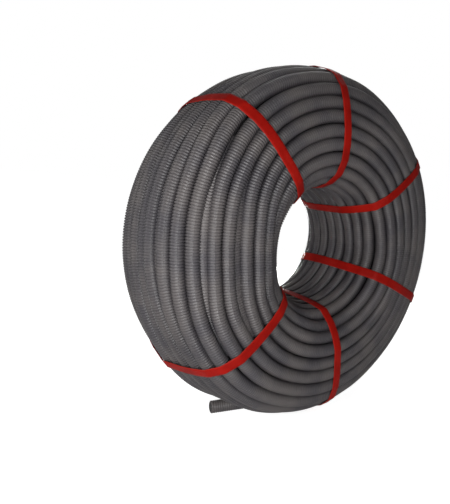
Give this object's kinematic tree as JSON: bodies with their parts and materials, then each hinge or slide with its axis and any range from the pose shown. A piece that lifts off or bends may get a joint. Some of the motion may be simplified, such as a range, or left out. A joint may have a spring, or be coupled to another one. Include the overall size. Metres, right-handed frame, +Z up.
{
  "type": "corrugated conduit coil",
  "caption": "Coil of dark grey corrugated electrical conduit, wound as a thick ring with an open eye, tied with flat red straps, one loose end open.",
  "frame": {"origin": "on the floor, under the middle of the coil: the centre of the bounding box's bottom face", "axes": "+Z up; the coil stands on its rim with its axis along Y, and the end that the picture shows faces -Y; the loose end of the strand points to -X"},
  "size_m": [0.454, 0.1834, 0.4567],
  "materials": {
    "conduit": "satin moulded",
    "strap": "smooth glossy tape"
  },
  "bodies": {
    "root": {"conduit_coil": "conduit", "conduit_end": "conduit", "strap_1": "strap", "strap_2": "strap", "strap_3": "strap", "strap_4": "strap", "strap_5": "strap", "strap_6": "strap"}
  },
  "joints": []
}
